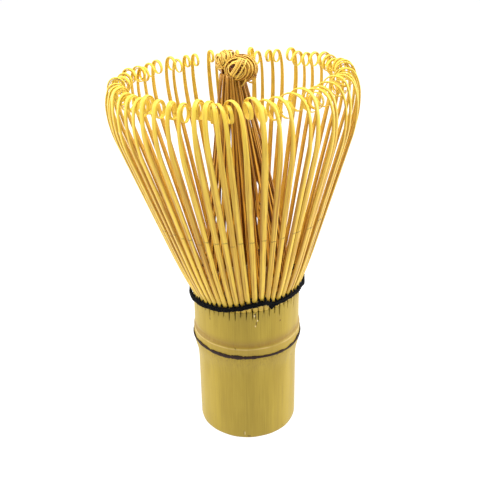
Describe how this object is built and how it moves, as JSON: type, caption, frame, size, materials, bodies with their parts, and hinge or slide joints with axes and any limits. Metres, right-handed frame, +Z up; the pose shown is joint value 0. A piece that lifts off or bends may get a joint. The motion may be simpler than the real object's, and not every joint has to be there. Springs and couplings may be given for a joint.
{
  "type": "bamboo tea whisk",
  "caption": "Bamboo tea whisk: culm grip with a node, flared ring of curled outer tines, inner cone wound into a knot, black thread at the roots.",
  "frame": {"origin": "centre of the open lower end of the grip, in the plane it stands on", "axes": "+Z up the axis of the grip; the brush leans 2.6 degrees towards -X"},
  "size_m": [0.0667, 0.0671, 0.1143],
  "materials": {
    "culm": "satin",
    "culm_inside": "matte",
    "sheath_scar": "matte",
    "outer_tine": "satin",
    "inner_tine": "satin",
    "thread": "matte"
  },
  "bodies": {
    "handle": {"handle_culm": "culm", "node_diaphragm": "culm_inside", "sheath_scar": "sheath_scar", "outer_thread": "thread", "packing_thread": "thread", "thread_tie": "thread", "tip_knot": "inner_tine", "tip_knot_lobe": "inner_tine", "inner_splint_01": "inner_tine", "inner_splint_02": "inner_tine", "inner_splint_03": "inner_tine", "inner_splint_04": "inner_tine", "inner_splint_05": "inner_tine", "inner_splint_06": "inner_tine", "inner_splint_07": "inner_tine", "inner_splint_08": "inner_tine", "inner_splint_09": "inner_tine", "inner_splint_10": "inner_tine", "inner_splint_11": "inner_tine", "inner_splint_12": "inner_tine", "inner_splint_13": "inner_tine", "inner_splint_14": "inner_tine", "inner_splint_15": "inner_tine"},
    "splint_01": {"outer_splint_01": "outer_tine"},
    "splint_02": {"outer_splint_02": "outer_tine"},
    "splint_03": {"outer_splint_03": "outer_tine"},
    "splint_04": {"outer_splint_04": "outer_tine"},
    "splint_05": {"outer_splint_05": "outer_tine"},
    "splint_06": {"outer_splint_06": "outer_tine"},
    "splint_07": {"outer_splint_07": "outer_tine"},
    "splint_08": {"outer_splint_08": "outer_tine"},
    "splint_09": {"outer_splint_09": "outer_tine"},
    "splint_10": {"outer_splint_10": "outer_tine"},
    "splint_11": {"outer_splint_11": "outer_tine"},
    "splint_12": {"outer_splint_12": "outer_tine"},
    "splint_13": {"outer_splint_13": "outer_tine"},
    "splint_14": {"outer_splint_14": "outer_tine"},
    "splint_15": {"outer_splint_15": "outer_tine"}
  },
  "joints": [
    {"name": "splint_01_flex", "type": "hinge", "parent": "handle", "child": "splint_01", "pos_m": [0.01547, 0, 0.0462], "axis": [0, 1, 0], "range_deg": [-3, 4], "stiffness_Nm_per_rad": 0.03},
    {"name": "splint_02_flex", "type": "hinge", "parent": "handle", "child": "splint_02", "pos_m": [0.01414, 0.0063, 0.04614], "axis": [-0.4063, 0.9135, -0.0185], "range_deg": [-3, 4], "stiffness_Nm_per_rad": 0.03},
    {"name": "splint_03_flex", "type": "hinge", "parent": "handle", "child": "splint_03", "pos_m": [0.01035, 0.01152, 0.04597], "axis": [-0.7424, 0.6691, -0.0337], "range_deg": [-3, 4], "stiffness_Nm_per_rad": 0.03},
    {"name": "splint_04_flex", "type": "hinge", "parent": "handle", "child": "splint_04", "pos_m": [0.00478, 0.01474, 0.04572], "axis": [-0.9501, 0.309, -0.0431], "range_deg": [-3, 4], "stiffness_Nm_per_rad": 0.03},
    {"name": "splint_05_flex", "type": "hinge", "parent": "handle", "child": "splint_05", "pos_m": [-0.00163, 0.01542, 0.04543], "axis": [-0.9935, -0.1045, -0.0451], "range_deg": [-3, 4], "stiffness_Nm_per_rad": 0.03},
    {"name": "splint_06_flex", "type": "hinge", "parent": "handle", "child": "splint_06", "pos_m": [-0.00775, 0.01342, 0.04515], "axis": [-0.8651, -0.5, -0.0393], "range_deg": [-3, 4], "stiffness_Nm_per_rad": 0.03},
    {"name": "splint_07_flex", "type": "hinge", "parent": "handle", "child": "splint_07", "pos_m": [-0.01254, 0.00911, 0.04493], "axis": [-0.5872, -0.809, -0.0267], "range_deg": [-3, 4], "stiffness_Nm_per_rad": 0.03},
    {"name": "splint_08_flex", "type": "hinge", "parent": "handle", "child": "splint_08", "pos_m": [-0.01515, 0.00322, 0.04481], "axis": [-0.2077, -0.9781, -0.0094], "range_deg": [-3, 4], "stiffness_Nm_per_rad": 0.03},
    {"name": "splint_09_flex", "type": "hinge", "parent": "handle", "child": "splint_09", "pos_m": [-0.01515, -0.00322, 0.04481], "axis": [0.2077, -0.9781, 0.0094], "range_deg": [-3, 4], "stiffness_Nm_per_rad": 0.03},
    {"name": "splint_10_flex", "type": "hinge", "parent": "handle", "child": "splint_10", "pos_m": [-0.01254, -0.00911, 0.04493], "axis": [0.5872, -0.809, 0.0267], "range_deg": [-3, 4], "stiffness_Nm_per_rad": 0.03},
    {"name": "splint_11_flex", "type": "hinge", "parent": "handle", "child": "splint_11", "pos_m": [-0.00775, -0.01342, 0.04515], "axis": [0.8651, -0.5, 0.0393], "range_deg": [-3, 4], "stiffness_Nm_per_rad": 0.03},
    {"name": "splint_12_flex", "type": "hinge", "parent": "handle", "child": "splint_12", "pos_m": [-0.00163, -0.01542, 0.04543], "axis": [0.9935, -0.1045, 0.0451], "range_deg": [-3, 4], "stiffness_Nm_per_rad": 0.03},
    {"name": "splint_13_flex", "type": "hinge", "parent": "handle", "child": "splint_13", "pos_m": [0.00478, -0.01474, 0.04572], "axis": [0.9501, 0.309, 0.0431], "range_deg": [-3, 4], "stiffness_Nm_per_rad": 0.03},
    {"name": "splint_14_flex", "type": "hinge", "parent": "handle", "child": "splint_14", "pos_m": [0.01035, -0.01152, 0.04597], "axis": [0.7424, 0.6691, 0.0337], "range_deg": [-3, 4], "stiffness_Nm_per_rad": 0.03},
    {"name": "splint_15_flex", "type": "hinge", "parent": "handle", "child": "splint_15", "pos_m": [0.01414, -0.0063, 0.04614], "axis": [0.4063, 0.9135, 0.0185], "range_deg": [-3, 4], "stiffness_Nm_per_rad": 0.03}
  ]
}
